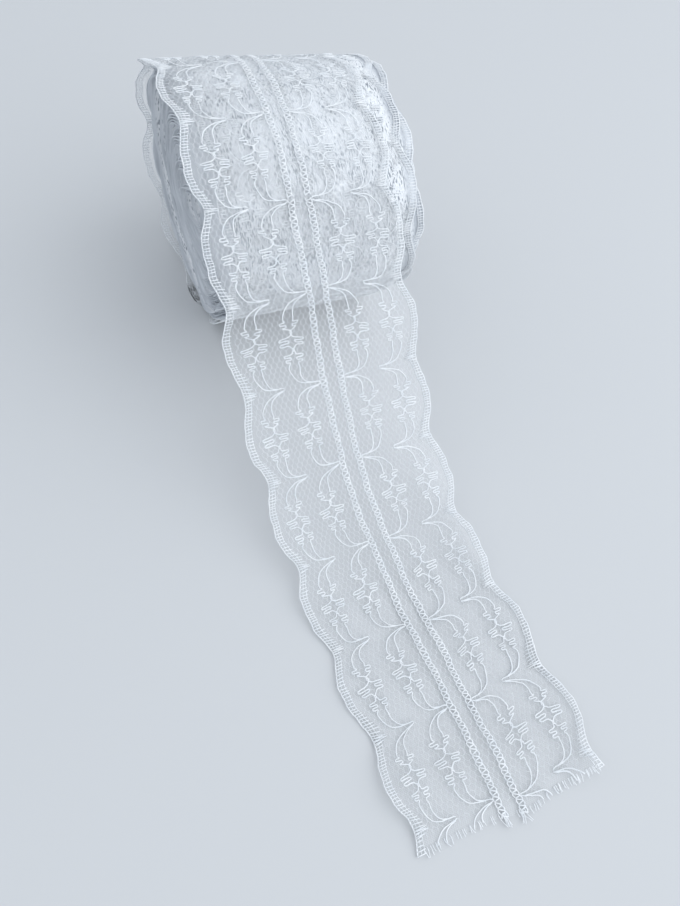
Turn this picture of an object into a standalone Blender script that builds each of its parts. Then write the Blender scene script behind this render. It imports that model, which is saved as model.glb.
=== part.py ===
# A roll of lace trim: one scalloped band of lace wound into a soft roll with no core,
# with its loose end let down in front and laid along the floor.
# Metres, +Z up, the roll's axis along X and the loose end towards -Y.
# The origin is the middle of the flat spot that the roll rests on.

import math

import bpy
import numpy as np

MM = 0.001

# The lace band, the same all along the roll and the loose end
NOTCH_WIDTH = 41.0 * MM
SCALLOP_DEPTH = 2.0 * MM
SCALLOP_REPEAT = 19.2 * MM
SCALLOP_ROUNDNESS = 1.7
BORDER_WIDTH = 1.9 * MM
BORDER_RISE = 0.3 * MM
LADDER_OFFSET = 2.0 * MM
LADDER_WIDTH = 1.7 * MM
LADDER_RISE = 0.4 * MM
RIB_FOOT = 0.35 * MM

# The wound roll, an ellipse seen from its end
HALF_DEPTH = 34.1 * MM
HALF_HEIGHT = 30.6 * MM
FLAT_SPOT_DEPTH = 0.6 * MM
AROUND_STEPS = 96

# Where the outermost turn leaves the roll, measured from the top towards the front.
# Just past that line the surface drops to the turn before.
LEAVING_ANGLE = math.radians(46.5)
TURN_DROP = 1.35 * MM
DROP_LENGTH = 1.2 * MM
FIRST_NOTCH = 0.2 * MM

# The outermost turn lies to the left of those below, and slid there over this stretch of its
# length, counted back from the leaving line.
SLIDE_FROM = math.radians(150)
SLIDE_TO = math.radians(260)

# The turns at the roll's ends, as groups from the outside in. Columns: depth of the group's
# outer face below the roll's surface, sideways shift to +X, further shift at the back of the
# roll, scallop phase in repeats, and the share of the scallops' depth that is left where many
# turns' scallops lie side by side.
TURN_GROUPS = (
    (0.0 * MM, 0.0 * MM, 0.0 * MM, 0.0, 1.0),
    (1.3 * MM, 5.5 * MM, 1.8 * MM, 0.35, 1.0),
    (2.6 * MM, 4.0 * MM, -3.9 * MM, 0.80, 0.9),
    (7.5 * MM, 5.3 * MM, -1.2 * MM, 0.15, 0.7),
    (14.5 * MM, 4.1 * MM, 0.6 * MM, 0.60, 0.6),
    (23.0 * MM, 4.8 * MM, 0.0 * MM, 0.40, 0.5),
)
BACK_FROM = math.radians(30)
BACK_FULL = math.radians(90)
SHOWN_AT_RIGHT = 3
GROUP_SLOPE = 0.3 * MM
HEART_RADIUS = 3.5 * MM
HEART_RIM = 7.0 * MM
EDGE_STEP = 0.6 * MM

# How far the roll is from an ellipse: fuller at the upper back, most of all on the left, tucked in
# at the lower front, where the loose end's pull has drawn the turns back, with low swells where
# they lie looser. Angles are from the top towards the front.
CROWN = 1.1 * MM
LEAN = 1.3 * MM
LEAN_ANGLE = math.radians(-50)
TUCK = 6.0 * MM
TUCK_FROM = math.radians(30)
TUCK_TO = math.radians(180)
TUCK_SKEW = 1.6
SWELL = 0.3 * MM
SWELLS_AROUND = 5
SWELL_WIDTH = 62.0 * MM
CREASE_ANGLE = math.radians(35)

# The loose end, measured along the band from the leaving line
SHEET_THICKNESS = 1.0 * MM
LOOSE_LENGTH = 138.5 * MM
LANDING_RADIUS = 64.5 * MM
SWING = 6.8 * MM
SWING_FROM = 30.0 * MM
SWING_TO = 155.0 * MM
ROWS_PER_REPEAT = 9

# Soft waves along the stretch that lies on the floor
WAVE_HEIGHT = 0.9 * MM
WAVE_LENGTH = 23.0 * MM
WAVES_FROM = 62.0 * MM
WAVES_FULL = 92.0 * MM
WAVE_AT_BORDER = 0.4
TOUCHING = 0.25 * MM

# Where the borders lift off the floor. Columns: side, middle of the lift along the band,
# half its length, lift, pull towards the middle of the band.
EDGE_LIFTS = (
    (1, 87.0 * MM, 15.0 * MM, 2.4 * MM, 1.2 * MM),
    (1, 136.0 * MM, 8.0 * MM, 1.8 * MM, 0.8 * MM),
    (-1, 127.0 * MM, 13.0 * MM, 1.3 * MM, 0.2 * MM),
)
LIFT_FROM = 11.0 * MM
LIFT_WIDTH = 9.0 * MM

# The cut end is a little ragged, and the two ladders run on past it.
RAGGED = 0.7 * MM
RAGGED_PITCH = 7.0 * MM
LADDER_TUFT = 1.9 * MM
CUT_BLEND = 6.0 * MM


def ease(value):
    """Rise from 0 to 1 as value does, level at both ends."""
    value = np.clip(value, 0.0, 1.0)
    return value * value * (3.0 - 2.0 * value)


def scallop(along, phase=0.0):
    """Height of the edge above its notches along the band: a sine squared with a flatter top."""
    turns = (along - FIRST_NOTCH) / SCALLOP_REPEAT + phase
    lobe = np.sin(math.pi * turns) ** 2
    return SCALLOP_DEPTH * (1 - (1 - lobe) ** SCALLOP_ROUNDNESS)


def band_stations(left, right, middle):
    """Places across the band with the rise of its surface there, from edge to edge."""
    stations = [
        (left, BORDER_RISE),
        (left + BORDER_WIDTH, BORDER_RISE),
        (left + BORDER_WIDTH + RIB_FOOT, 0.0),
        (0.5 * (left + middle) - LADDER_OFFSET, 0.0),
    ]
    for ladder in (middle - LADDER_OFFSET, middle + LADDER_OFFSET):
        half = LADDER_WIDTH / 2
        stations += [
            (ladder - half - RIB_FOOT, 0.0),
            (ladder - half, LADDER_RISE),
            (ladder + half, LADDER_RISE),
            (ladder + half + RIB_FOOT, 0.0),
        ]
    stations += [
        (0.5 * (right + middle) + LADDER_OFFSET, 0.0),
        (right - BORDER_WIDTH - RIB_FOOT, 0.0),
        (right - BORDER_WIDTH, BORDER_RISE),
        (right, BORDER_RISE),
    ]
    return stations


def grid_faces(columns, rows, closed):
    """Quads between neighbours of a grid whose points are numbered row by row."""
    row = np.arange(rows if closed else rows - 1)
    column = np.arange(columns - 1)
    first = (row[:, None] * columns + column).ravel()
    second = (((row + 1) % rows)[:, None] * columns + column).ravel()
    return np.stack([first, second, second + 1, first + 1], axis=1).tolist()


def new_object(name, points, faces, material):
    """A smooth-shaded object with its creases kept sharp."""
    mesh = bpy.data.meshes.new(name)
    mesh.from_pydata(points.tolist(), [], faces)
    mesh.validate()
    mesh.shade_smooth()
    mesh.set_sharp_from_angle(angle=CREASE_ANGLE)
    mesh.materials.append(material)
    built = bpy.data.objects.new(name, mesh)
    bpy.context.scene.collection.objects.link(built)
    return built


def lace_material(name, colour, roughness):
    """White lace seen from a step away."""
    material = bpy.data.materials.new(name)
    material.use_nodes = True
    shader = material.node_tree.nodes["Principled BSDF"]
    shader.inputs["Base Color"].default_value = (*colour, 1.0)
    shader.inputs["Roughness"].default_value = roughness
    shader.inputs["Metallic"].default_value = 0.0
    return material


def roll_point(x, angle, depth):
    """A point of the roll at a depth below its ellipse, never under the floor."""
    lower_half = (HALF_HEIGHT + FLAT_SPOT_DEPTH) / outer_share(math.pi)
    fuller = CROWN - LEAN * x / (NOTCH_WIDTH / 2)
    fuller = fuller * np.maximum(np.cos(angle - LEAN_ANGLE), 0) ** 2
    swell = SWELL * np.sin(SWELLS_AROUND * (angle - LEAVING_ANGLE))
    swell = swell * np.sin(2 * math.pi * x / SWELL_WIDTH)
    low_front = np.clip((np.mod(angle, 2 * math.pi) - TUCK_FROM) / (TUCK_TO - TUCK_FROM), 0, 1)
    tuck = TUCK * np.sin(math.pi * low_front**TUCK_SKEW) ** 2
    share = outer_share(angle) - (depth - fuller - swell + tuck) / HALF_DEPTH
    share = np.maximum(share, HEART_RADIUS / HALF_DEPTH)
    up = share * np.cos(angle) * np.where(np.cos(angle) > 0, HALF_HEIGHT, lower_half)
    y = -HALF_DEPTH * share * np.sin(angle)
    return np.stack([x, y, np.maximum(HALF_HEIGHT + up, 0.0)], axis=-1)


def outer_share(angle):
    """The outermost surface as a share of the ellipse: one turn's drop over a whole turn."""
    back = np.mod(LEAVING_ANGLE - angle, 2 * math.pi)
    return 1.0 - TURN_DROP / HALF_DEPTH * back / (2 * math.pi)


def around_angles():
    """Angles back round the roll from the leaving line, and the length of band they take."""
    drop_angle = DROP_LENGTH / HALF_DEPTH
    back = np.linspace(0.0, 2 * math.pi - drop_angle, AROUND_STEPS)
    angle = LEAVING_ANGLE - back
    y = HALF_DEPTH * np.sin(angle)
    z = HALF_HEIGHT * np.cos(angle)
    steps = np.hypot(np.diff(y), np.diff(z))
    return back, angle, -np.concatenate([[0.0], np.cumsum(steps)])


def wound_roll(material):
    """All the turns as one solid: rings from the left end's heart, over the surface, to the right's."""
    back, angle, along = around_angles()
    slid = ease((back - SLIDE_FROM) / (SLIDE_TO - SLIDE_FROM))
    at_back = ease((back - BACK_FROM) / (BACK_FULL - BACK_FROM)) - slid
    outermost_middle = TURN_GROUPS[1][1] * slid
    edges = []
    for depth, shift, back_shift, phase, share in TURN_GROUPS:
        if depth == 0.0:
            middle = outermost_middle
            lobes = scallop(along, phase)
        else:
            middle = shift + back_shift * at_back
            repeats = round(2 * math.pi * (HALF_DEPTH - depth) / SCALLOP_REPEAT)
            lobes = share * scallop(back / (2 * math.pi) * repeats * SCALLOP_REPEAT, phase)
        reach = NOTCH_WIDTH / 2 + lobes
        edges.append((depth, middle - reach, middle + reach))

    rings = [(edges[-1][1], HALF_DEPTH)]
    inner_depths = [edge[0] - GROUP_SLOPE for edge in edges[1:]] + [HALF_DEPTH - HEART_RIM]
    for (depth, left, _), inner_depth in reversed(list(zip(edges, inner_depths))):
        rings.append((left, inner_depth))
        if depth > 0.0:
            rings.append((left, depth))
    _, left, right = edges[0]
    for x, rise in band_stations(left, right, outermost_middle):
        rings.append((x, -rise * (1 - slid)))
    outside = right
    for number, ((depth, _, right), inner_depth) in enumerate(zip(edges[1:], inner_depths[1:])):
        if number + 1 < SHOWN_AT_RIGHT:
            right = np.maximum(right, outside + EDGE_STEP)
            rings.append((outside + GROUP_SLOPE, depth))
            outside = right
        rings.append((right, depth))
        rings.append((right, inner_depth))
    rings.append((edges[-1][2], HALF_DEPTH))

    points = np.stack([roll_point(x, angle, depth) for x, depth in rings], axis=1)
    columns = len(rings)
    faces = [face[::-1] for face in grid_faces(columns, AROUND_STEPS, closed=True)]
    for column, flip in ((0, False), (columns - 1, True)):
        hub = [row * columns + column for row in range(AROUND_STEPS)]
        faces.append(hub[::-1] if flip else hub)
    return new_object("wound_roll", points.reshape(-1, 3), faces, material)


def loose_path(along):
    """Side view of the loose end's upper face: straight off the roll, a wide arc, then level."""
    slope = math.atan2(HALF_HEIGHT * math.sin(LEAVING_ANGLE), HALF_DEPTH * math.cos(LEAVING_ANGLE))
    start_y = -HALF_DEPTH * math.sin(LEAVING_ANGLE)
    start_z = HALF_HEIGHT * (1 + math.cos(LEAVING_ANGLE))
    arc_fall = LANDING_RADIUS * (1 - math.cos(slope))
    straight = (start_z - SHEET_THICKNESS - arc_fall) / math.sin(slope)
    arc_length = LANDING_RADIUS * slope
    on_straight = np.clip(along, None, straight)
    turned = np.clip(along - straight, 0.0, arc_length) / LANDING_RADIUS
    level = np.clip(along - straight - arc_length, 0.0, None)
    down = slope - turned
    y = start_y - on_straight * math.cos(slope)
    y = y - LANDING_RADIUS * (math.sin(slope) - np.sin(down)) - level
    z = start_z - on_straight * math.sin(slope) - LANDING_RADIUS * (np.cos(down) - math.cos(slope))
    return y, z, down


def lift_off_floor(across, along):
    """How far the waves and the lifted borders stand off the floor, and their pull inwards."""
    waves = ease((along - WAVES_FROM) / (WAVES_FULL - WAVES_FROM))
    waves = waves * WAVE_HEIGHT * (0.5 - 0.5 * np.cos(2 * math.pi * along / WAVE_LENGTH))
    crown = np.cos(math.pi * across / NOTCH_WIDTH) ** 2
    lift = waves * (WAVE_AT_BORDER + (1 - WAVE_AT_BORDER) * crown)
    pull = np.zeros_like(lift)
    for side, middle, half_length, height, inward in EDGE_LIFTS:
        near_edge = ease((side * across - LIFT_FROM) / LIFT_WIDTH)
        near_middle = ease(1.0 - np.abs(along - middle) / half_length)
        lift = lift + height * near_edge * near_middle
        pull = pull - side * inward * near_edge * near_middle
    return lift, pull


def loose_end(material):
    """The free stretch of the band as a sheet, its underside flat where it touches the floor."""
    rows = round(LOOSE_LENGTH / SCALLOP_REPEAT * ROWS_PER_REPEAT)
    row_along = np.linspace(DROP_LENGTH, LOOSE_LENGTH, rows)
    reach = NOTCH_WIDTH / 2 + scallop(row_along)
    stations = band_stations(-reach, reach, np.zeros(rows))
    across = np.stack([place for place, _ in stations], axis=1)
    rise = np.array([height for _, height in stations])
    columns = len(stations)

    on_ladder = rise == LADDER_RISE
    ragged = RAGGED * np.cos(2 * math.pi * across[-1] / RAGGED_PITCH) + LADDER_TUFT * on_ladder
    near_cut = ease((row_along - LOOSE_LENGTH + CUT_BLEND) / CUT_BLEND)
    along = row_along[:, None] + near_cut[:, None] * ragged

    y, z, down = loose_path(along)
    swung = (along - SWING_FROM) / (SWING_TO - SWING_FROM)
    heading = (SWING / (SWING_TO - SWING_FROM)) * 6 * np.clip(swung * (1 - swung), 0.0, None)
    lift, pull = lift_off_floor(across, along)
    width_place = across + pull

    def face_of_sheet(above, lift_here):
        """Points a distance above the sheet's upper face, square to it."""
        x = SWING * ease(swung) + width_place * np.cos(heading)
        forward = y + width_place * np.sin(heading) - above * np.sin(down)
        return np.stack([x, forward, z + above * np.cos(down) + lift_here], axis=-1)

    upper = face_of_sheet(rise, lift)
    lower = face_of_sheet(-SHEET_THICKNESS, np.maximum(lift - TOUCHING, 0.0))
    lower[..., 2] = np.maximum(lower[..., 2], 0.0)
    points = np.concatenate([upper.reshape(-1, 3), lower.reshape(-1, 3)])

    count = rows * columns
    faces = grid_faces(columns, rows, closed=False)
    faces += [[corner + count for corner in face[::-1]] for face in faces]
    left_edge = [row * columns for row in range(rows)]
    right_edge = [row * columns + columns - 1 for row in range(rows)]
    start_edge = list(range(columns))
    cut_edge = [(rows - 1) * columns + column for column in range(columns)]
    rim = left_edge[::-1] + start_edge[1:] + right_edge[1:] + cut_edge[-2:0:-1]
    for here, following in zip(rim, rim[1:] + rim[:1]):
        faces.append([here, following, following + count, here + count])
    return new_object("loose_end", points, faces, material)


for old in list(bpy.data.objects):
    bpy.data.objects.remove(old, do_unlink=True)

wound_roll(lace_material("wound_lace", (0.86, 0.88, 0.90), 0.75))
loose_end(lace_material("loose_lace", (0.90, 0.92, 0.94), 0.70))
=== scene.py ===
import math

import bpy
import numpy as np
from mathutils import Matrix


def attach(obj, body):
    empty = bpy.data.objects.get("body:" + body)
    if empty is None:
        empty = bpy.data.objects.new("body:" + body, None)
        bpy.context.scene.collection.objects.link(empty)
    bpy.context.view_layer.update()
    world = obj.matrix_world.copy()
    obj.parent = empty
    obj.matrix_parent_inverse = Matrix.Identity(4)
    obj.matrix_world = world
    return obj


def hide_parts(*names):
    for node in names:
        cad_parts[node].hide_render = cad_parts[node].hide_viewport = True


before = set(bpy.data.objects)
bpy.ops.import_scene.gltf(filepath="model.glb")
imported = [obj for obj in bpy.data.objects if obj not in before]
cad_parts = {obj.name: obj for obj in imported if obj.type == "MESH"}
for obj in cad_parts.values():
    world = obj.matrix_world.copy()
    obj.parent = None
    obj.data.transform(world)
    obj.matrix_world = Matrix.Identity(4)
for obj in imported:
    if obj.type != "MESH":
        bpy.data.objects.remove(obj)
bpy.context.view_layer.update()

# The threads of the loose end. The lace is one long knitted band, wound on itself and left loose
# at its outer end. Thick white yarn is laid into a fine net as two ladders, sprigs and a border.
# Places on the band are metres along it from where it leaves the roll, across it, and above it.
MM = 0.001
NOTCH_WIDTH = 41.0 * MM
SCALLOP_DEPTH = 2.0 * MM
SCALLOP_ROUNDNESS = 1.7
REPEAT = 19.2 * MM
FIRST_NOTCH = 0.2 * MM
LOOSE_LENGTH = 138.5 * MM

# The roll that the band comes off, an ellipse seen from its end
HALF_DEPTH = 34.1 * MM
HALF_HEIGHT = 30.6 * MM
FLAT_SPOT_DEPTH = 0.6 * MM
LEAVING_ANGLE = math.radians(46.5)
TURNS = 51
STEPS_A_TURN = 240
# How deep the turns lie, the outer ones pressed together. Columns: turns, depth.
TURN_DEPTHS = ((0, 0.0), (1, 0.7 * MM), (3, 1.5 * MM), (TURNS, 30.2 * MM))
# It is fuller at its upper back, more so at the left, has low swells, and its lower front is
# drawn in by the loose end's pull.
CROWN = 1.1 * MM
LEAN = 1.3 * MM
LEAN_ANGLE = math.radians(-50)
SWELL = 0.3 * MM
SWELLS_AROUND = 5
SWELL_WIDTH = 62.0 * MM
TUCK = 6.0 * MM
TUCK_FROM = math.radians(30)
TUCK_TO = math.radians(180)
TUCK_SKEW = 1.6

# The outermost turn lies left of the rest up to its slide, in parts of a turn back from where it
# leaves the roll. Each turn below has a shift of its own, and a further one at the roll's back.
SLIDE_FROM = 150 / 360
SLIDE_TO = 260 / 360
BACK_FROM = 30 / 360
BACK_FULL = 90 / 360
# Columns: shift of a turn, and its further shift at the back. Those below follow a slow wave.
FIRST_SHIFTS = (
    (5.2 * MM, 0.0),
    (5.2 * MM, 1.8 * MM),
    (6.6 * MM, 2.2 * MM),
    (5.8 * MM, -3.9 * MM),
    (6.3 * MM, -4.6 * MM),
    (5.4 * MM, -3.0 * MM),
    (5.6 * MM, -4.0 * MM),
)
LATER_SHIFT = 4.9 * MM
LATER_WAVE = 0.8 * MM
LATER_BACK = -1.4 * MM
TURNS_A_WAVE = 9.0
SHIFT_CHANCE = 0.4

# The loose end drops straight, lands in a wide arc, swings to the right and lies in soft waves.
FLOOR_CLEARANCE = 0.35 * MM
LANDING_RADIUS = 64.5 * MM
SWING = 6.8 * MM
SWING_FROM = 30.0 * MM
SWING_TO = 155.0 * MM
WAVE_HEIGHT = 0.9 * MM
WAVE_LENGTH = 23.0 * MM
WAVES_FROM = 62.0 * MM
WAVES_FULL = 92.0 * MM
WAVE_AT_BORDER = 0.4
# Where the borders lift. Columns: side, middle along, half the length, lift, pull inwards.
EDGE_LIFTS = (
    (1, 87.0 * MM, 15.0 * MM, 2.4 * MM, 1.2 * MM),
    (1, 136.0 * MM, 8.0 * MM, 1.8 * MM, 0.8 * MM),
    (-1, 127.0 * MM, 13.0 * MM, 1.3 * MM, 0.2 * MM),
)
LIFT_FROM = 11.0 * MM
LIFT_WIDTH = 9.0 * MM

chance = np.random.default_rng(21)
slow_wave = np.sin(2 * math.pi * np.arange(TURNS + 2) / TURNS_A_WAVE)
uneven = slow_wave + chance.uniform(-SHIFT_CHANCE, SHIFT_CHANCE, TURNS + 2)
turn_shifts = LATER_SHIFT + LATER_WAVE * uneven
uneven = slow_wave + chance.uniform(-SHIFT_CHANCE, SHIFT_CHANCE, TURNS + 2)
back_shifts = LATER_BACK * (1 + uneven)
turn_shifts[: len(FIRST_SHIFTS)], back_shifts[: len(FIRST_SHIFTS)] = np.transpose(FIRST_SHIFTS)


def ease(value):
    """Rise from 0 to 1 as value does, level at both ends."""
    value = np.clip(value, 0.0, 1.0)
    return value * value * (3.0 - 2.0 * value)


def half_width(along):
    """Distance from the band's middle to its edge: a flattened sine squared in each repeat."""
    lobe = np.sin(math.pi * (along - FIRST_NOTCH) / REPEAT) ** 2
    return NOTCH_WIDTH / 2 + SCALLOP_DEPTH * (1 - (1 - lobe) ** SCALLOP_ROUNDNESS)


def turn_share(turns):
    """Size of the spiral as a share of the roll, after so many turns back from its outer end."""
    return 1 - np.interp(turns, *zip(*TURN_DEPTHS)) / HALF_DEPTH


LOWER_HALF = (HALF_HEIGHT + FLAT_SPOT_DEPTH) / turn_share((LEAVING_ANGLE + math.pi) / (2 * math.pi))


def half_height(angle):
    """The ellipse's upright half axis, longer in its lower half, which the floor flattens."""
    return np.where(np.cos(angle) > 0, HALF_HEIGHT, LOWER_HALF)


def spiral_length():
    """Angles back from the leaving line, and the band wound up there, summed in short steps."""
    back = np.linspace(0, 2 * math.pi * TURNS, STEPS_A_TURN * TURNS + 1)
    share = turn_share(back / (2 * math.pi))
    angle = LEAVING_ANGLE - back
    steps = np.hypot(
        np.diff(HALF_DEPTH * share * np.sin(angle)),
        np.diff(half_height(angle) * share * np.cos(angle)),
    )
    return back, np.concatenate([[0.0], np.cumsum(steps)])


back_table, length_table = spiral_length()


def on_roll(along, across, above):
    """Wind flat places round the roll: an elliptical spiral, fuller at its upper back, tucked in
    at its lower front, with low swells, whose turns have slipped sideways."""
    back = np.interp(-along, length_table, back_table)
    turns = back / (2 * math.pi)
    angle = LEAVING_ANGLE - back
    round_turn = np.mod(turns, 1)
    slid = ease((round_turn - SLIDE_FROM) / (SLIDE_TO - SLIDE_FROM))
    at_back = ease((round_turn - BACK_FROM) / (BACK_FULL - BACK_FROM)) - slid
    number = np.floor(turns).astype(int)
    here = np.where(number == 0, 0.0, turn_shifts[number])
    shift = here + (turn_shifts[number + 1] - here) * slid
    x = across + shift + back_shifts[number] * at_back
    fuller = CROWN - LEAN * x / (NOTCH_WIDTH / 2)
    fuller = fuller * np.maximum(np.cos(angle - LEAN_ANGLE), 0) ** 2
    swell = SWELL * np.sin(SWELLS_AROUND * (angle - LEAVING_ANGLE))
    swell = swell * np.sin(2 * math.pi * x / SWELL_WIDTH)
    low_front = np.clip((np.mod(angle, 2 * math.pi) - TUCK_FROM) / (TUCK_TO - TUCK_FROM), 0, 1)
    tuck = TUCK * np.sin(math.pi * low_front**TUCK_SKEW) ** 2
    share = turn_share(turns) * (1 + (fuller + swell - tuck) / HALF_DEPTH) + above / HALF_DEPTH
    y = -HALF_DEPTH * share * np.sin(angle)
    z = HALF_HEIGHT + half_height(angle) * share * np.cos(angle)
    return np.stack([x, y, z], axis=-1)


def loose_path(along):
    """Side view of the loose end: straight off the roll, a wide arc, then level on the floor."""
    slope = math.atan2(HALF_HEIGHT * math.sin(LEAVING_ANGLE), HALF_DEPTH * math.cos(LEAVING_ANGLE))
    start_y = -HALF_DEPTH * math.sin(LEAVING_ANGLE)
    start_z = HALF_HEIGHT * (1 + math.cos(LEAVING_ANGLE))
    arc_fall = LANDING_RADIUS * (1 - math.cos(slope))
    straight = (start_z - FLOOR_CLEARANCE - arc_fall) / math.sin(slope)
    arc_length = LANDING_RADIUS * slope
    on_straight = np.clip(along, 0.0, straight)
    turned = np.clip(along - straight, 0.0, arc_length) / LANDING_RADIUS
    level = np.clip(along - straight - arc_length, 0.0, None)
    down = slope - turned
    y = start_y - on_straight * math.cos(slope)
    y = y - LANDING_RADIUS * (math.sin(slope) - np.sin(down)) - level
    z = start_z - on_straight * math.sin(slope) - LANDING_RADIUS * (np.cos(down) - math.cos(slope))
    return y, z, down


def on_loose_end(along, across, above):
    """Bend flat places to the loose end: down its path, swung sideways and turned by the slope of
    that swing, with soft waves across it and lifts of its borders."""
    y, z, down = loose_path(along)
    swung = (along - SWING_FROM) / (SWING_TO - SWING_FROM)
    heading = (SWING / (SWING_TO - SWING_FROM)) * 6 * np.clip(swung * (1 - swung), 0.0, None)
    waves = ease((along - WAVES_FROM) / (WAVES_FULL - WAVES_FROM))
    waves = waves * WAVE_HEIGHT * (0.5 - 0.5 * np.cos(2 * math.pi * along / WAVE_LENGTH))
    crown = np.cos(math.pi * np.clip(across / NOTCH_WIDTH, -0.5, 0.5)) ** 2
    lift = waves * (WAVE_AT_BORDER + (1 - WAVE_AT_BORDER) * crown)
    pull = 0.0
    for side, middle, half_length, height, inward in EDGE_LIFTS:
        near_edge = ease((side * across - LIFT_FROM) / LIFT_WIDTH)
        near_middle = ease(1.0 - np.abs(along - middle) / half_length)
        lift = lift + height * near_edge * near_middle
        pull = pull - side * inward * near_edge * near_middle
    place_across = across + pull
    x = SWING * ease(swung) + place_across * np.cos(heading)
    forward = y + place_across * np.sin(heading) - above * np.sin(down)
    return np.stack([x, forward, z + above * np.cos(down) + lift], axis=-1)


def bend(flat):
    """World places of flat band places: on the roll before the leaving line, loose after it, and
    nowhere below the floor."""
    along, across, above = flat[..., 0], flat[..., 1], flat[..., 2]
    wound = on_roll(np.minimum(along, 0), across, above)
    loose = on_loose_end(np.maximum(along, 0), across, above)
    placed = np.where((along < 0)[..., None], wound, loose)
    placed[..., 2] = np.maximum(placed[..., 2], 0.0)
    return placed


def new_piece(name, flat, faces, material, slot):
    """A smooth mesh of flat places bent into shape. faces is a list of arrays of corner numbers,
    one array for each count of corners. The flat places are kept on it, in millimetres."""
    mesh = bpy.data.meshes.new(name)
    mesh.vertices.add(len(flat))
    mesh.vertices.foreach_set("co", bend(flat).astype(np.float32).ravel())
    corners = np.concatenate([group.ravel() for group in faces])
    sizes = np.concatenate([np.full(len(group), group.shape[1]) for group in faces])
    mesh.loops.add(len(corners))
    mesh.loops.foreach_set("vertex_index", corners.astype(np.int32))
    mesh.polygons.add(len(sizes))
    starts = np.concatenate([[0], np.cumsum(sizes)[:-1]])
    mesh.polygons.foreach_set("loop_start", starts.astype(np.int32))
    mesh.update(calc_edges=True)
    mesh.shade_smooth()
    place = mesh.attributes.new("band_place", "FLOAT_VECTOR", "POINT")
    place.data.foreach_set("vector", (flat / MM).astype(np.float32).ravel())
    mesh.materials.append(material)
    piece = bpy.data.objects.new(name, mesh)
    bpy.context.scene.collection.objects.link(piece)
    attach(piece, "root")
    return piece


def tubes(paths, radius, sides=4, flatness=0.85):
    """Closed tubes along many paths at once: a slightly flattened ring of points square to each
    path point, quads between rings, and a lid on each end. Returns the points and the faces."""
    count, steps = paths.shape[:2]
    ahead = np.gradient(paths, axis=1)
    ahead = ahead / np.linalg.norm(ahead, axis=2, keepdims=True)
    side = np.cross(ahead, (0.0, 0.0, 1.0))
    side = side / np.linalg.norm(side, axis=2, keepdims=True)
    top = np.cross(side, ahead)
    turn = 2 * math.pi * (np.arange(sides) + 0.5) / sides
    ring = np.cos(turn)[:, None] * side[:, :, None, :]
    ring = ring + flatness * np.sin(turn)[:, None] * top[:, :, None, :]
    points = paths[:, :, None, :] + radius * ring
    number = np.arange(count * steps * sides).reshape(count, steps, sides)
    near, far = number[:, :-1], number[:, 1:]
    walls = np.stack([near, far, np.roll(far, -1, axis=2), np.roll(near, -1, axis=2)], axis=-1)
    lids = np.concatenate([number[:, 0], number[:, -1, ::-1]])
    return points.reshape(-1, 3), [walls.reshape(-1, 4), lids]


def joined(parts):
    """One list of points and of faces from many."""
    points = np.concatenate([part[0] for part in parts])
    starts = np.cumsum([0] + [len(part[0]) for part in parts[:-1]])
    by_size = {}
    for (_, groups), start in zip(parts, starts):
        for group in groups:
            by_size.setdefault(group.shape[1], []).append(group + start)
    return points, [np.concatenate(groups) for groups in by_size.values()]


# How the knitting strays from its chart, upwards by a share of the rest. Columns: wavelengths
# along and across, reach.
STRAYS = (
    (31.0 * MM, 47.0 * MM, 0.30 * MM),
    (11.0 * MM, 17.0 * MM, 0.17 * MM),
    (4.3 * MM, 5.9 * MM, 0.09 * MM),
    (1.9 * MM, 2.3 * MM, 0.045 * MM),
)
UPWARD_SHARE = 0.4
stray_phases = chance.uniform(0, 2 * math.pi, (len(STRAYS), 3, 2))

# The pattern wanders from the band's middle, and its right ladder was pulled further along near
# the cut. Columns: distance along the band, shift to the right.
PATTERN_SHIFTS = (
    (-20.0 * MM, 0.15 * MM),
    (20.0 * MM, 0.2 * MM),
    (39.0 * MM, -0.2 * MM),
    (60.0 * MM, -0.5 * MM),
)
PULLED = 1.5 * MM
PULLED_PLACE = 3.5 * MM
PULLED_WIDTH = 5.0 * MM
PULLED_FROM = 50.0 * MM
PULLED_FULL = 110.0 * MM


def strayed(flat):
    """Move flat places a little by sums of sines, so that no two repeats are quite alike."""
    along, across = flat[..., 0], flat[..., 1]
    moved = flat.copy()
    for (long_wave, cross_wave, reach), phases in zip(STRAYS, stray_phases):
        for axis, (first, second) in enumerate(phases):
            wave = np.sin(2 * math.pi * along / long_wave + first)
            wave = wave * np.sin(2 * math.pi * across / cross_wave + second)
            moved[..., axis] += reach * (UPWARD_SHARE if axis == 2 else 1.0) * wave
    inside = 1 - np.minimum(np.abs(across) / (NOTCH_WIDTH / 2), 1) ** 2
    moved[..., 1] += np.interp(along, *zip(*PATTERN_SHIFTS)) * inside
    pulled = np.exp(-(((across - PULLED_PLACE) / PULLED_WIDTH) ** 2))
    moved[..., 0] += PULLED * pulled * ease((along - PULLED_FROM) / (PULLED_FULL - PULLED_FROM))
    return moved


def laid(along, across, height):
    """Paths on the flat band, at one height above it."""
    along, across = np.broadcast_arrays(along, across)
    return np.stack([along, across, np.full_like(across, height)], axis=-1)


# A sprig is two threads that meet at both its tips and cross twice between. Each runs down a
# stem, to and fro in a small leaf, a large one and a small one, and down a stem again.
SPRIG_RADIUS = 0.15 * MM
SPRIG_HEIGHT = 0.14 * MM
LEAF_TAPER = 0.07
# Where the sprigs' tips lie. Columns: distance from the pattern's middle, and past the notch.
SPRIG_TIPS = ((2.75 * MM, 0.3 * MM), (11.1 * MM, 0.5 * MM))


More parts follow.
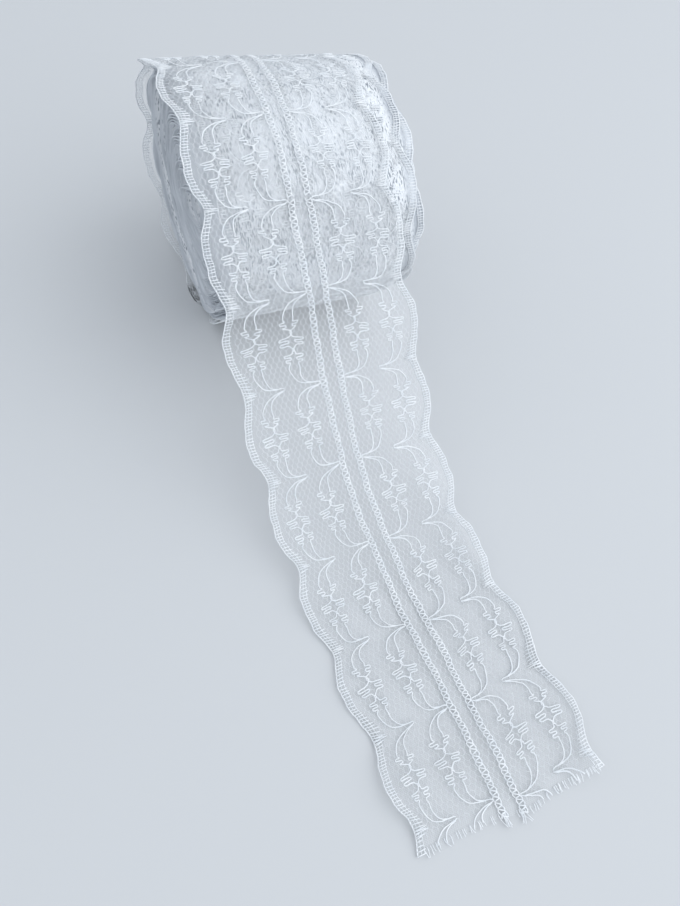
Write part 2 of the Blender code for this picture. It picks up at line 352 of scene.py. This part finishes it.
def leaf(near, far, start, strokes, gap, slope=0.0):
    """One leaf of a sprig: strokes of thread to and fro from near to far, each a gap further
    along, with a rounded turn at each end, falling by slope and each a little shorter."""
    row = np.arange(strokes)[:, None]
    away = np.where(row % 2 == 0, 1, -1)
    reach = (far - near) * (1 - LEAF_TAPER * row)
    outwards = near + reach * (0.5 + away * np.array([-0.43, 0.43, 0.5]))
    along = start + gap * (row + np.array([0.0, 0.0, 0.5])) + slope * (outwards - near)
    return np.stack([outwards, along], axis=-1).reshape(-1, 2)[:-1]


def sprig_threads():
    """The sprig's two threads, in millimetres from its upper tip: outwards, then along. Their
    corners are cut off at a quarter of each stretch."""
    outer = np.concatenate(
        [
            [(0.0, 0.05), (0.3, 0.25), (2.0, 0.5), (3.6, 1.0), (5.1, 1.9), (6.0, 3.2), (6.4, 4.7)],
            leaf(5.6, 7.2, 5.2, 3, 0.55),
            [(5.2, 6.9), (4.4, 7.2), (5.1, 7.6), (4.6, 7.95), (4.9, 8.2)],
            leaf(5.4, 7.9, 8.7, 4, 0.55, 0.1),
            [(5.1, 10.9), (4.4, 11.3), (5.1, 11.7), (5.0, 12.0)],
            leaf(5.4, 7.0, 12.3, 4, 0.5),
            [(6.3, 14.6), (6.0, 16.1), (5.3, 17.4), (4.5, 18.3)],
            [(2.5, 18.8), (0.3, 18.75), (0.0, 19.0)],
        ]
    )
    inner = np.concatenate(
        [
            [(0.4, 0.35), (1.8, 0.75), (3.0, 1.4), (3.7, 2.3), (3.9, 3.5), (3.75, 4.8)],
            leaf(4.3, 2.8, 5.2, 3, 0.55),
            [(4.3, 6.9), (5.1, 7.2), (4.4, 7.6), (4.9, 7.95), (4.6, 8.2)],
            leaf(4.1, 2.0, 8.6, 4, 0.52, -0.1),
            [(4.4, 10.8), (5.1, 11.3), (4.4, 11.7), (4.5, 12.0)],
            leaf(4.2, 2.8, 12.3, 4, 0.52),
            [(3.9, 14.9), (4.0, 16.2), (3.6, 17.5), (2.9, 18.4), (1.6, 18.75)],
        ]
    )
    rounded = []
    for corners in (outer, inner):
        start, end = corners[:-1], corners[1:]
        cut = np.stack([0.75 * start + 0.25 * end, 0.25 * start + 0.75 * end], axis=1)
        rounded.append(np.concatenate([corners[:1], cut.reshape(-1, 2), corners[-1:]]) * MM)
    return rounded


def repeated(paths, first, last):
    """Copies of paths for each repeat of the pattern from first up to last."""
    shift = np.arange(first, last)[:, None, None, None] * np.array([REPEAT, 0, 0])
    return (paths[None] + shift).reshape(-1, *paths.shape[1:])


def sprigs(first, last, end):
    """Four sprigs in each repeat, two on each half of the band, tips towards the middle. Where
    the band is cut at end, so are they."""
    parts = []
    for thread in sprig_threads():
        paths = []
        for tip, past_notch in SPRIG_TIPS:
            for side in (-1, 1):
                across = side * (tip + thread[:, 0])
                along = FIRST_NOTCH + past_notch + thread[:, 1]
                paths.append(laid(along, across, SPRIG_HEIGHT))
        paths = repeated(np.stack(paths), first, last)
        whole = paths[..., 0].max(axis=1) < end
        parts.append(tubes(paths[whole], SPRIG_RADIUS))
        for path in paths[~whole]:
            kept = path[: np.argmax(path[:, 0] > end)]
            if len(kept) > 2:
                parts.append(tubes(kept[None], SPRIG_RADIUS))
    return parts


LADDER_OFFSET = 2.0 * MM
LADDER_HALF_WIDTH = 0.6 * MM
LADDER_STITCH = 1.2 * MM
LADDER_RADIUS = 0.155 * MM
LADDER_RIPPLE = 0.12 * MM
LADDER_RAIL_HEIGHT = 0.12 * MM
LADDER_LEG_HEIGHT = 0.2 * MM
LEG_SLANT = 0.35


def ladders(start, end):
    """Two ladders: a pair of rippled rails each, with a thread that crosses to and fro between
    them in slanted legs, so closely that only small three-sided holes are left."""
    rail_along = np.arange(start, end, LADDER_STITCH / 3)
    corner = np.arange(int((end - start) / LADDER_STITCH * 4))
    slant = np.where(corner % 2 == 0, LEG_SLANT, -LEG_SLANT)
    leg_along = start + LADDER_STITCH / 4 * (corner + slant)
    swing = np.where(corner % 4 < 2, 1.0, -1.0)
    parts = []
    for middle in (-LADDER_OFFSET, LADDER_OFFSET):
        for side in (-1, 1):
            ripple = LADDER_RIPPLE * np.cos(2 * math.pi * (rail_along / LADDER_STITCH + side / 4))
            across = middle + side * (LADDER_HALF_WIDTH + ripple)
            rail = laid(rail_along, across, LADDER_RAIL_HEIGHT)
            parts.append(tubes(rail[None], LADDER_RADIUS))
        legs = laid(leg_along, middle + swing * LADDER_HALF_WIDTH, LADDER_LEG_HEIGHT)
        parts.append(tubes(legs[None], LADDER_RADIUS))
    return parts


# Columns: inset from the scalloped edge, thread radius.
RAILS = ((0.18 * MM, 0.16 * MM), (0.9 * MM, 0.06 * MM), (1.6 * MM, 0.08 * MM))
RAIL_STEP = 0.6 * MM
RAIL_HEIGHT = 0.1 * MM
RUNG_PITCH = 0.62 * MM
RUNG_INSET = 0.1 * MM
RUNG_HEIGHT = 0.16 * MM
RUNG_RADIUS = 0.12 * MM
SHORT_RUNG = 1.7 * MM
LONG_RUNG = 2.5 * MM
RUNG_FALL = 0.35 * MM
LENGTH_CHANCE = 0.2 * MM
PLACE_CHANCE = 0.08 * MM
# The long stitches at each notch. Columns: distance past the notch, length from the edge.
NOTCH_STITCHES = ((-0.2 * MM, 2.9 * MM), (0.25 * MM, 3.0 * MM), (0.8 * MM, 2.2 * MM))
NOTCH_STITCH_HEIGHT = 0.22 * MM


def borders(start, end, first, last):
    """The scalloped border on both edges: rails at set insets, and rungs across them, which
    grow longer and fall along the band in the last third of each repeat, before its notch, and
    are shorter in the first fifth."""
    rail_along = np.arange(start, end, RAIL_STEP)
    rung_along = np.arange(start + RUNG_PITCH / 2, end, RUNG_PITCH)
    notches = FIRST_NOTCH + np.arange(first, last + 1) * REPEAT
    share = np.array([0.0, 0.5, 1.0])
    parts = []
    for side in (-1, 1):
        for inset, radius in RAILS:
            rail = laid(rail_along, side * (half_width(rail_along) - inset), RAIL_HEIGHT)
            parts.append(tubes(rail[None], radius))
        share_done = np.mod((rung_along - FIRST_NOTCH) / REPEAT, 1.0)
        falling = ease(share_done * 3.0 - 1.9) - 0.5 * ease(1.0 - share_done * 5.0)
        length = SHORT_RUNG + (LONG_RUNG - SHORT_RUNG) * falling
        length = length + chance.uniform(-LENGTH_CHANCE, LENGTH_CHANCE, len(length))
        edge = half_width(rung_along) - RUNG_INSET
        across = side * (edge[:, None] - share * length[:, None])
        along = rung_along[:, None] + share * RUNG_FALL * falling[:, None]
        along = along + chance.uniform(-PLACE_CHANCE, PLACE_CHANCE, (len(length), 1))
        parts.append(tubes(laid(along, across, RUNG_HEIGHT), RUNG_RADIUS))
        for past_notch, length in NOTCH_STITCHES:
            along = notches + past_notch
            along = along[(along > start) & (along < end)]
            edge = half_width(along) - RUNG_INSET
            across = side * (edge[:, None] - share * length)
            stitches = laid(along[:, None], across, NOTCH_STITCH_HEIGHT)
            parts.append(tubes(stitches, RUNG_RADIUS))
    return parts


def threads(first, last, end=math.inf, flattened=1.0):
    """All the thick threads of the band from one repeat up to another, their heights flattened
    to a share where other turns press on them."""
    start = FIRST_NOTCH + first * REPEAT
    stop = min(FIRST_NOTCH + last * REPEAT, end)
    parts = sprigs(first, last, end) + ladders(start, stop)
    flat, faces = joined(parts + borders(start, stop, first, last))
    flat[:, 2] *= flattened
    return strayed(flat), faces


class Value:
    """One output of a shader node, which Python's arithmetic can combine with others."""

    def __init__(self, tree, socket=None):
        self.tree = tree
        self.socket = socket

    def node(self, kind, settings=None, inputs=None, output=0):
        """A new node of that kind: first its settings, then the values or links of its sockets."""
        made = self.tree.nodes.new(kind)
        for name, setting in (settings or {}).items():
            if name == "stops":
                ramp = made.color_ramp
                for _ in setting[2:]:
                    ramp.elements.new(0.5)
                for element, (position, colour) in zip(ramp.elements, setting):
                    element.position = position
                    element.color = (*colour, 1.0)
            else:
                setattr(made, name, setting)
        for name, value in (inputs or {}).items():
            if isinstance(value, Value):
                self.tree.links.new(value.socket, made.inputs[name])
            else:
                made.inputs[name].default_value = value
        return Value(self.tree, made.outputs[output])

    def maths(self, operation, *values):
        """A Math node on these values."""
        return self.node("ShaderNodeMath", {"operation": operation}, dict(enumerate(values)))

    def feed(self, shader, name):
        """Link this value to a shader's socket."""
        self.tree.links.new(self.socket, shader.inputs[name])

    def __add__(self, other):
        return self.maths("ADD", self, other)

    def __sub__(self, other):
        return self.maths("SUBTRACT", self, other)

    def __rsub__(self, other):
        return self.maths("SUBTRACT", other, self)

    def __mul__(self, other):
        return self.maths("MULTIPLY", self, other)

    __radd__ = __add__
    __rmul__ = __mul__


def new_material(name, roughness, sheen):
    """A material, its Principled shader, and the band place that its patterns follow, in
    millimetres."""
    material = bpy.data.materials.new(name)
    material.use_nodes = True
    tree = material.node_tree
    shader = tree.nodes["Principled BSDF"]
    shader.inputs["Roughness"].default_value = roughness
    shader.inputs["Sheen Weight"].default_value = sheen
    shader.inputs["Sheen Roughness"].default_value = 0.4
    place = Value(tree).node("ShaderNodeAttribute", {"attribute_name": "band_place"}, output=1)
    return material, shader, place


def noise(place, scale, detail=3.0, stretch=(1.0, 1.0, 1.0)):
    """Cloudy values from 0 to 1 over a place, stretched along its axes."""
    place = place.node("ShaderNodeVectorMath", {"operation": "MULTIPLY"}, {0: place, 1: stretch})
    return place.node("ShaderNodeTexNoise", {}, {"Vector": place, "Scale": scale, "Detail": detail})


def axis_of(place, number):
    """One axis of a place: 0 along the band, 1 across it."""
    return place.node("ShaderNodeSeparateXYZ", {}, {0: place}, output=number)


def share_between(value, low, high):
    """0 where a value is at low, 1 where it is at high."""
    return value.node("ShaderNodeMapRange", {}, {"Value": value, "From Min": low, "From Max": high})


def shaded(value, *stops):
    """A colour by a value, even between the stops, which are pairs of a value and a colour."""
    return value.node("ShaderNodeValToRGB", {"stops": stops}, {"Fac": value})


def mixed(share, first, second):
    """The first colour where the share is 0, the second where it is 1."""
    colours = {0: share, 6: first, 7: second}
    return share.node("ShaderNodeMix", {"data_type": "RGBA"}, colours, output=2)


def bumped(height, strength, distance):
    """The surface's normal, tilted by the slope of a height."""
    values = {"Strength": strength, "Distance": distance, "Height": height}
    return height.node("ShaderNodeBump", {}, values)


# Bright nylon with a soft sheen, a little cooler in places, its filaments felt as fine bumps. Its
# cool places are a little paler on the roll, painted light. The change is where the band leaves it,
# in millimetres.
YARN_COOL = (0.76, 0.79, 0.82)
YARN_WHITE = (0.86, 0.875, 0.89)
PAINTED_LIGHT_WOUND_COOL = (0.78, 0.81, 0.84)
PAINTED_LIGHT_WOUND_WHITE = (0.86, 0.875, 0.89)
WOUND_UNTIL = -4.0
LOOSE_FROM = 28.0
yarn, yarn_shader, yarn_place = new_material("nylon_yarn", roughness=0.5, sheen=0.3)
clouds = noise(yarn_place, scale=0.35)
loose_shade = shaded(clouds, (0.3, YARN_COOL), (0.65, YARN_WHITE))
# Painted light: on the roll the yarn's cool places are a little paler.
wound_painted_light = shaded(clouds, (0.3, PAINTED_LIGHT_WOUND_COOL), (0.65, PAINTED_LIGHT_WOUND_WHITE))
is_loose = share_between(axis_of(yarn_place, 0), WOUND_UNTIL, LOOSE_FROM)
mixed(is_loose, wound_painted_light, loose_shade).feed(yarn_shader, "Base Color")
filaments = noise(yarn_place, scale=9.0, detail=2.0, stretch=(0.4, 1.0, 1.0))
(0.4 + filaments * 0.25).feed(yarn_shader, "Roughness")
bumped(filaments, strength=0.35, distance=0.04 * MM).feed(yarn_shader, "Normal")

LOOSE_REPEATS = 8
loose_threads = new_piece(
    "loose_end_threads", *threads(0, LOOSE_REPEATS, end=LOOSE_LENGTH), yarn, "loose_lace"
)

# The net of the loose end. Fine yarns run along the band, each swaying against its neighbours,
# so that they touch once in each wave and leave long six-sided cells between them.
WALE_PITCH = 0.6 * MM
WALES_A_SIDE = 33
WALE_WAVE = 2.2 * MM
WALE_SWAY = 0.22 * MM
WALE_RADIUS = 0.037 * MM
# Where a wale turns in each wave, in parts of the wave
WALE_CORNERS = (0.0, 0.36, 0.5, 0.86)


def net(start, end):
    """Wavy lines along the band: in each wave a level stretch to one side, a short step over and
    a level stretch to the other side, and every second line the other way round."""
    waves = np.arange(int((end - start) / WALE_WAVE))[:, None]
    along = start + WALE_WAVE * (waves + np.array(WALE_CORNERS)).ravel()
    number = np.arange(-WALES_A_SIDE, WALES_A_SIDE)[:, None]
    first_half = np.arange(len(along)) % len(WALE_CORNERS) < len(WALE_CORNERS) / 2
    sway = WALE_SWAY * np.where(first_half == (number % 2 == 0), 1, -1)
    paths = laid(along, (number + 0.5) * WALE_PITCH + sway, 0.0)
    flat, faces = tubes(paths, WALE_RADIUS, sides=3, flatness=1.0)
    return strayed(flat), faces


loose_net = new_piece("loose_end_net", *net(0.0, LOOSE_LENGTH), yarn, "loose_lace")

# The cut end. The band was snipped across, so its yarns stand out of the cut as short ends, and
# the two ladders end in small tufts.
FRAYS = 70
TUFT_ENDS = 16
FRAY_STEPS = 6
FRAY_ROOT = 1.2 * MM
FRAY_RADIUS = 0.1 * MM
SHORTEST_FRAY = 0.1 * MM
LONGEST_FRAY = 0.6 * MM
TUFT_EXTRA = 1.3 * MM
TUFT_SPREAD = 0.4 * MM
FRAY_DRIFT = 0.5
FRAY_RISE = 0.35


def frays():
    """Short curved ends of thread past the cut, longer at the ladders: each starts in the band
    and bends sideways and up by chance."""
    across = chance.uniform(-1, 1, FRAYS) * NOTCH_WIDTH / 2
    ladder = chance.choice([-1, 1], TUFT_ENDS) * LADDER_OFFSET
    across[:TUFT_ENDS] = ladder + chance.normal(0, TUFT_SPREAD, TUFT_ENDS)
    length = chance.uniform(SHORTEST_FRAY, LONGEST_FRAY, FRAYS)
    length[:TUFT_ENDS] += TUFT_EXTRA
    part = np.linspace(0, 1, FRAY_STEPS)
    drift = chance.normal(0, FRAY_DRIFT, (FRAYS, 1)) * length[:, None]
    along = LOOSE_LENGTH - FRAY_ROOT + part * (length[:, None] + FRAY_ROOT)
    sideways = across[:, None] + drift * part**2
    rise = chance.uniform(0, FRAY_RISE, (FRAYS, 1)) * length[:, None] * part**2
    flat, faces = tubes(np.stack([along, sideways, FRAY_RADIUS + rise], axis=-1), FRAY_RADIUS)
    return strayed(flat), faces


fray_piece = new_piece("frayed_cut_end", *frays(), yarn, "loose_lace")

# The ground of the loose end. Between the wales run laps of yarn too fine to see one by one.
# They make a sheer film, one thin sheet on the band's face, open nearly everywhere. The laps'
# pitch and width are in millimetres, and the rest is a faint haze.
GROUND_COLUMNS = 41
GROUND_STEP = 1.0 * MM
GROUND_INSET = 0.1 * MM
GROUND_SHORT_OF_CUT = 0.3 * MM
LAP_PITCH = 0.55
LAP_WIDTH = 0.16
LAP_LEAN = 1.2
LAP_ALPHA = 0.35
FILM_ALPHA = 0.10


def ground(start, end):
    """A thin sheet of the band between two places along it, its edges on the scallops."""
    rows = int(round((end - start) / GROUND_STEP)) + 1
    along = np.linspace(start, end, rows)[:, None]
    across = np.linspace(-1, 1, GROUND_COLUMNS) * (half_width(along) - GROUND_INSET)
    flat = strayed(laid(along, across, 0.0).reshape(-1, 3))
    number = np.arange(rows * GROUND_COLUMNS).reshape(rows, GROUND_COLUMNS)
    corners = (number[:-1, :-1], number[1:, :-1], number[1:, 1:], number[:-1, 1:])
    return flat, [np.stack(corners, axis=-1).reshape(-1, 4)]


film, film_shader, film_place = new_material("sheer_ground", roughness=0.6, sheen=0.2)
film_shader.inputs["Base Color"].default_value = (*YARN_WHITE, 1.0)


def laps(lean):
    """Fine slanting lines: 1 on a line and 0 between, from a saw of the slanted distance."""
    saw = (axis_of(film_place, 0) + axis_of(film_place, 1) * lean) * (1 / LAP_PITCH)
    return saw.maths("LESS_THAN", saw.maths("PINGPONG", saw, 0.5), LAP_WIDTH / 2)


crossing = film_place.maths("MAXIMUM", laps(LAP_LEAN), laps(-LAP_LEAN))
(crossing * LAP_ALPHA + FILM_ALPHA).feed(film_shader, "Alpha")

loose_ground = new_piece(
    "loose_end_ground", *ground(0.0, LOOSE_LENGTH - GROUND_SHORT_OF_CUT), film, "loose_lace"
)
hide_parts("loose_end")

# The outermost turn. The same band goes once round the roll, wound on by hand and held by nothing
# but its own cling. It lies left of the turns below it, and they show through its net.
TURN_REPEATS = 11
# What is left of the threads' heights where turns press on each other
FLATTENED = 0.65
outer_start = FIRST_NOTCH - TURN_REPEATS * REPEAT
outer_threads = threads(-TURN_REPEATS, 0, flattened=FLATTENED)
new_piece("outer_turn_threads", *outer_threads, yarn, "wound_lace")
new_piece("outer_turn_net", *net(outer_start, 0.0), yarn, "wound_lace")
new_piece("outer_turn_ground", *ground(outer_start, 0.0), film, "wound_lace")

# The second and third turns, more of the same knitted band. Their thick threads, out of step with
# the outermost turn's, show through its net, and their borders beyond its own at the roll's ends.
for number, name in ((1, "second_turn_threads"), (2, "third_turn_threads")):
    last = -number * TURN_REPEATS
    turn = threads(last - TURN_REPEATS, last, flattened=FLATTENED)
    new_piece(name, *turn, yarn, "wound_lace")

# The inner turns. Many layers of nylon net on each other let little light through, so they are
# one long band wound up, thick enough to close its own gaps, whose scalloped edges show at the
# ends. It starts at the roll's lower front, in the last part of the outermost turn.
BODY_FROM = 9.3
BODY_STEP = 1.0 * MM
# How much of the scallops is left where they are squeezed together. Columns: turn, share.
BODY_SCALLOPS = ((2, 1.0), (5, 0.35), (12, 0.2))
BODY_TOP = -0.03 * MM
BODY_UNDERSIDE = -0.35 * MM


def wound_body():
    """A long flat tube with six points to a ring, the edges and the middle of each side."""
    along = np.arange(FIRST_NOTCH - length_table[-1], FIRST_NOTCH - BODY_FROM * REPEAT, BODY_STEP)
    turn = np.interp(-along, length_table, back_table) / (2 * math.pi)
    share = np.interp(turn, *zip(*BODY_SCALLOPS))
    reach = share * half_width(along) + (1 - share) * NOTCH_WIDTH / 2
    across = reach[:, None] * np.array([-1, 0, 1, 1, 0, -1])
    flat = laid(along[:, None], across, np.repeat([BODY_TOP, BODY_UNDERSIDE], 3))
    number = np.arange(len(along) * 6).reshape(-1, 6)
    near, far = number[:-1], number[1:]
    walls = np.stack([near, far, np.roll(far, -1, axis=1), np.roll(near, -1, axis=1)], axis=-1)
    lids = np.stack([number[0], number[-1, ::-1]])
    return flat.reshape(-1, 3), [walls.reshape(-1, 4), lids]


# Its face is a tangle of pale threads with small dark gaps, whose darkness is painted shade for the
# depth seen between the threads, and more of them, painted shadow, in its outermost part, in front
# of which only the loose end hangs. Towards its edges it is painted greyer, as shade, and streaked.
# Places on it are in millimetres.
BODY_PALE = (0.90, 0.915, 0.93)
# Painted shade: the colour of the dark gaps between the threads.
BODY_COOL = (0.74, 0.765, 0.80)
BODY_GAP_SHADE = (0.28, 0.31, 0.35)
# Painted shade on the body's edges and end faces, from deep to pale, streaked along its layers.
EDGE_SHADE_DEEP = (0.48, 0.51, 0.55)
EDGE_SHADE_PALE = (0.70, 0.73, 0.77)
EDGE_SHADE_FROM = 19.3
EDGE_SHADE_FULL = 20.5
# Painted shadow: more dark gaps from here on, in the body's outermost part behind the loose end.
FRONT_SHADE_FROM = -212.0
FRONT_SHADE_FULL = -204.0
FRONT_SHADE_BY = 0.045
# Two sets of loose threads. Columns: threads in a cloud, clouds in a millimetre each way.
TANGLES = ((10, (0.25, 1.0, 1.0)), (9, (0.45, 1.4, 1.0)))
GAP_CLOUDS = (0.8, 3.4, 1.0)
DRIFT_CLOUDS = (0.15, 0.35, 1.0)
STREAK_CLOUDS = (0.07, 0.5, 1.0)
DRIFT_SHARE = 0.4
NO_GAP_SHADE = 0.64
FULL_GAP_SHADE = 0.56
body_material, body_shader, body_place = new_material("layered_lace", roughness=0.75, sheen=0.05)


def body_clouds(stretch, detail=1.0):
    """Cloudy values over the body, with so many clouds in a millimetre each way."""
    return noise(body_place, scale=1.0, detail=detail, stretch=stretch)


def thread_lines(lines, stretch):
    """Meandering lines like loose threads: a cloudy value crosses even steps there. 1 on a line,
    0 halfway to the next."""
    level = body_clouds(stretch) * lines
    return 1 - level.maths("PINGPONG", level, 0.5) * 2


tangle = body_place.maths("MAXIMUM", *[thread_lines(*columns) for columns in TANGLES])
tangled = shaded(tangle, (0.45, BODY_COOL), (0.8, BODY_PALE))
# Painted shadow: the gaps spread wider in the body's outermost part, behind the loose end.
front_shade = share_between(axis_of(body_place, 0), FRONT_SHADE_FROM, FRONT_SHADE_FULL)
gaps = body_clouds(GAP_CLOUDS) + body_clouds(DRIFT_CLOUDS) * DRIFT_SHARE - front_shade * FRONT_SHADE_BY
speckled = mixed(share_between(gaps, NO_GAP_SHADE, FULL_GAP_SHADE), tangled, (*BODY_GAP_SHADE, 1.0))
# Painted shade: the edges greyer, with streaks along the layers.
shaded_streaks = shaded(body_clouds(STREAK_CLOUDS, detail=2.0), (0.3, EDGE_SHADE_DEEP), (0.65, EDGE_SHADE_PALE))
from_middle = body_place.maths("ABSOLUTE", axis_of(body_place, 1))
edge_shade_share = share_between(from_middle, EDGE_SHADE_FROM, EDGE_SHADE_FULL)
mixed(edge_shade_share, speckled, shaded_streaks).feed(body_shader, "Base Color")
bumped(tangle, strength=0.5, distance=0.1 * MM).feed(body_shader, "Normal")

inner_turns = new_piece("inner_turns", *wound_body(), body_material, "wound_lace")
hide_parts("wound_roll")

# The floor. A plain pale surface without a pattern, wide enough for every view of the roll.
FLOOR_COLOUR = (0.57, 0.58, 0.59)
FLOOR_HALF = 1.5
floor_mesh = bpy.data.meshes.new("floor")
corners = [(x * FLOOR_HALF, y * FLOOR_HALF, 0) for x, y in ((-1, -1), (1, -1), (1, 1), (-1, 1))]
floor_mesh.from_pydata(corners, [], [(0, 1, 2, 3)])
floor = bpy.data.objects.new("floor", floor_mesh)
bpy.context.scene.collection.objects.link(floor)
floor_material = bpy.data.materials.new("floor_paper")
floor_material.use_nodes = True
floor_shader = floor_material.node_tree.nodes["Principled BSDF"]
floor_shader.inputs["Base Color"].default_value = (*FLOOR_COLOUR, 1.0)
floor_shader.inputs["Roughness"].default_value = 0.85
floor_mesh.materials.append(floor_material)

# The light. A broad soft lamp at the front right, like a large window there, and an even pale
# light from all round.
LAMP_PLACE = (0.50, -0.45, 0.65)
LAMP_AIM = (0.02, -0.05, 0.0)
LAMP_SIZE = 1.2
LAMP_WATTS = 5.3
LAMP_COLOUR = (0.97, 1.0, 1.03)
ROOM_COLOUR = (0.91, 0.97, 1.045)
ROOM_STRENGTH = 0.90
light = bpy.data.lights.new("window", "AREA")
light.size = LAMP_SIZE
light.energy = LAMP_WATTS
light.color = LAMP_COLOUR
lamp = bpy.data.objects.new("window", light)
bpy.context.scene.collection.objects.link(lamp)
back = np.subtract(LAMP_PLACE, LAMP_AIM)
back = back / np.linalg.norm(back)
side = np.cross((0, 0, 1), back)
side = side / np.linalg.norm(side)
columns = np.stack([side, np.cross(back, side), back, LAMP_PLACE], axis=1)
lamp.matrix_world = Matrix(np.vstack([columns, (0, 0, 0, 1)]))

world = bpy.data.worlds.new("room")
bpy.context.scene.world = world
world.use_nodes = True
background = world.node_tree.nodes["Background"]
background.inputs["Color"].default_value = (*ROOM_COLOUR, 1.0)
background.inputs["Strength"].default_value = ROOM_STRENGTH

# The camera. It stands where the photograph's did, to the left of the loose end and above it,
# a little tilted, and looks down at the roll.
CAMERA_PLACE = (-48.36 * MM, -145.69 * MM, 156.13 * MM)
CAMERA_DOWN = math.radians(56.97)
CAMERA_RIGHTWARDS = math.radians(30.26)
CAMERA_ROLL = math.radians(11.37)
FOCAL_LENGTH = 29.8
ahead = np.array(
    [
        math.sin(CAMERA_RIGHTWARDS) * math.cos(CAMERA_DOWN),
        math.cos(CAMERA_RIGHTWARDS) * math.cos(CAMERA_DOWN),
        -math.sin(CAMERA_DOWN),
    ]
)
level = np.array([math.cos(CAMERA_RIGHTWARDS), -math.sin(CAMERA_RIGHTWARDS), 0.0])
overhead = np.cross(level, ahead)
rightwards = level * math.cos(CAMERA_ROLL) + overhead * math.sin(CAMERA_ROLL)
upwards = overhead * math.cos(CAMERA_ROLL) - level * math.sin(CAMERA_ROLL)
camera_data = bpy.data.cameras.new("camera")
camera_data.lens = FOCAL_LENGTH
camera_data.clip_start = 10 * MM
camera = bpy.data.objects.new("camera", camera_data)
bpy.context.scene.collection.objects.link(camera)
columns = np.stack([rightwards, upwards, -ahead, CAMERA_PLACE], axis=1)
camera.matrix_world = Matrix(np.vstack([columns, (0, 0, 0, 1)]))
bpy.context.scene.camera = camera
bpy.context.scene.view_settings.view_transform = "Standard"
